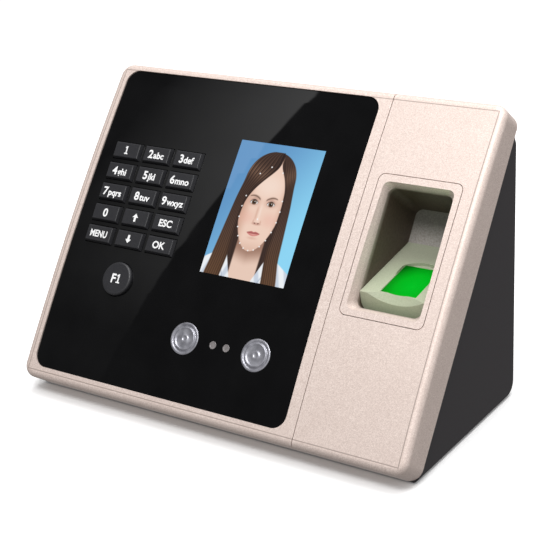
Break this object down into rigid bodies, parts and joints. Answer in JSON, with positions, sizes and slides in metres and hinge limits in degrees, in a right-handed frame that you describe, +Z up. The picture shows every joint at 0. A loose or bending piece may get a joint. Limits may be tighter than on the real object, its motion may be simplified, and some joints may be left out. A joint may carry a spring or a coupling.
{
  "type": "fingerprint scanner terminal",
  "caption": "Wedge-shaped desk terminal with a tilted face: keypad, small screen and cameras in a black panel beside a recessed fingerprint sensor, in a pale metallic shell.",
  "frame": {"origin": "middle of the footprint, on the surface that the rubber feet stand on", "axes": "+Z up; +Y from the tilted face to the vertical back; +X along the width, towards the fingerprint sensor"},
  "size_m": [0.188, 0.0966, 0.1254],
  "materials": {
    "gold_paint": "champagne metallic paint, satin, finely textured",
    "black_acrylic": "polished black",
    "clear_window": "polished clear",
    "lens_plastic": "translucent smoked grey with moulded rings",
    "key_rubber": "matte with white printed legends",
    "charcoal_plastic": "fine moulded texture",
    "black_plastic": "moulded",
    "sensor_glass": "polished, lit green from below",
    "green_board": "solder mask",
    "steel": "zinc plated sheet",
    "display_layer": "dark liquid crystal glass",
    "foam": "adhesive foam",
    "foot_rubber": "matte moulded rubber",
    "lamp_plastic": "smoked epoxy",
    "component_black": "moulded packages",
    "battery_wrap": "shrink wrap"
  },
  "bodies": {
    "terminal": {"front_bezel": "gold_paint", "fingerprint_cover": "gold_paint", "sensor_surround": "gold_paint", "finger_rest": "gold_paint", "front_panel": "black_acrylic", "panel_tape": "foam", "screen_window": "clear_window", "camera_window_left": "lens_plastic", "camera_window_right": "lens_plastic", "display_frame": "steel", "display_glass": "display_layer", "key_guide": "black_plastic", "keypad_board": "green_board", "keypad_switches": "component_black", "camera_board": "green_board", "camera_left": "black_plastic", "camera_right": "black_plastic", "infrared_lamps": "lamp_plastic", "sensor_window": "sensor_glass", "sensor_housing": "black_plastic", "sensor_lamp": "green_board", "sensor_board": "green_board", "rear_housing": "charcoal_plastic", "rubber_feet": "foot_rubber", "wall_plate": "steel", "power_jack": "black_plastic", "usb_socket": "steel", "network_socket": "steel", "port_board": "green_board", "main_board": "green_board", "board_components": "component_black", "clock_battery": "steel", "inner_frame": "black_plastic", "board_screws": "steel", "case_screws": "steel", "speaker": "black_plastic", "backup_battery": "battery_wrap"},
    "1_key": {"key_1": "key_rubber"},
    "2_key": {"key_2": "key_rubber"},
    "3_key": {"key_3": "key_rubber"},
    "4_key": {"key_4": "key_rubber"},
    "5_key": {"key_5": "key_rubber"},
    "6_key": {"key_6": "key_rubber"},
    "7_key": {"key_7": "key_rubber"},
    "8_key": {"key_8": "key_rubber"},
    "9_key": {"key_9": "key_rubber"},
    "0_key": {"key_0": "key_rubber"},
    "up_key": {"key_up": "key_rubber"},
    "esc_key": {"key_esc": "key_rubber"},
    "menu_key": {"key_menu": "key_rubber"},
    "down_key": {"key_down": "key_rubber"},
    "ok_key": {"key_ok": "key_rubber"},
    "f1_key": {"key_f1": "key_rubber"}
  },
  "joints": [
    {"name": "1_press", "type": "slide", "parent": "terminal", "child": "1_key", "axis": [0, 0.8105, -0.5858], "range_m": [0, 0.001], "stiffness_N_per_m": 500, "springref_m": -0.0004},
    {"name": "2_press", "type": "slide", "parent": "terminal", "child": "2_key", "axis": [0, 0.8105, -0.5858], "range_m": [0, 0.001], "stiffness_N_per_m": 500, "springref_m": -0.0004},
    {"name": "3_press", "type": "slide", "parent": "terminal", "child": "3_key", "axis": [0, 0.8105, -0.5858], "range_m": [0, 0.001], "stiffness_N_per_m": 500, "springref_m": -0.0004},
    {"name": "4_press", "type": "slide", "parent": "terminal", "child": "4_key", "axis": [0, 0.8105, -0.5858], "range_m": [0, 0.001], "stiffness_N_per_m": 500, "springref_m": -0.0004},
    {"name": "5_press", "type": "slide", "parent": "terminal", "child": "5_key", "axis": [0, 0.8105, -0.5858], "range_m": [0, 0.001], "stiffness_N_per_m": 500, "springref_m": -0.0004},
    {"name": "6_press", "type": "slide", "parent": "terminal", "child": "6_key", "axis": [0, 0.8105, -0.5858], "range_m": [0, 0.001], "stiffness_N_per_m": 500, "springref_m": -0.0004},
    {"name": "7_press", "type": "slide", "parent": "terminal", "child": "7_key", "axis": [0, 0.8105, -0.5858], "range_m": [0, 0.001], "stiffness_N_per_m": 500, "springref_m": -0.0004},
    {"name": "8_press", "type": "slide", "parent": "terminal", "child": "8_key", "axis": [0, 0.8105, -0.5858], "range_m": [0, 0.001], "stiffness_N_per_m": 500, "springref_m": -0.0004},
    {"name": "9_press", "type": "slide", "parent": "terminal", "child": "9_key", "axis": [0, 0.8105, -0.5858], "range_m": [0, 0.001], "stiffness_N_per_m": 500, "springref_m": -0.0004},
    {"name": "0_press", "type": "slide", "parent": "terminal", "child": "0_key", "axis": [0, 0.8105, -0.5858], "range_m": [0, 0.001], "stiffness_N_per_m": 500, "springref_m": -0.0004},
    {"name": "up_press", "type": "slide", "parent": "terminal", "child": "up_key", "axis": [0, 0.8105, -0.5858], "range_m": [0, 0.001], "stiffness_N_per_m": 500, "springref_m": -0.0004},
    {"name": "esc_press", "type": "slide", "parent": "terminal", "child": "esc_key", "axis": [0, 0.8105, -0.5858], "range_m": [0, 0.001], "stiffness_N_per_m": 500, "springref_m": -0.0004},
    {"name": "menu_press", "type": "slide", "parent": "terminal", "child": "menu_key", "axis": [0, 0.8105, -0.5858], "range_m": [0, 0.001], "stiffness_N_per_m": 500, "springref_m": -0.0004},
    {"name": "down_press", "type": "slide", "parent": "terminal", "child": "down_key", "axis": [0, 0.8105, -0.5858], "range_m": [0, 0.001], "stiffness_N_per_m": 500, "springref_m": -0.0004},
    {"name": "ok_press", "type": "slide", "parent": "terminal", "child": "ok_key", "axis": [0, 0.8105, -0.5858], "range_m": [0, 0.001], "stiffness_N_per_m": 500, "springref_m": -0.0004},
    {"name": "f1_press", "type": "slide", "parent": "terminal", "child": "f1_key", "axis": [0, 0.8105, -0.5858], "range_m": [0, 0.001], "stiffness_N_per_m": 500, "springref_m": -0.0004}
  ]
}
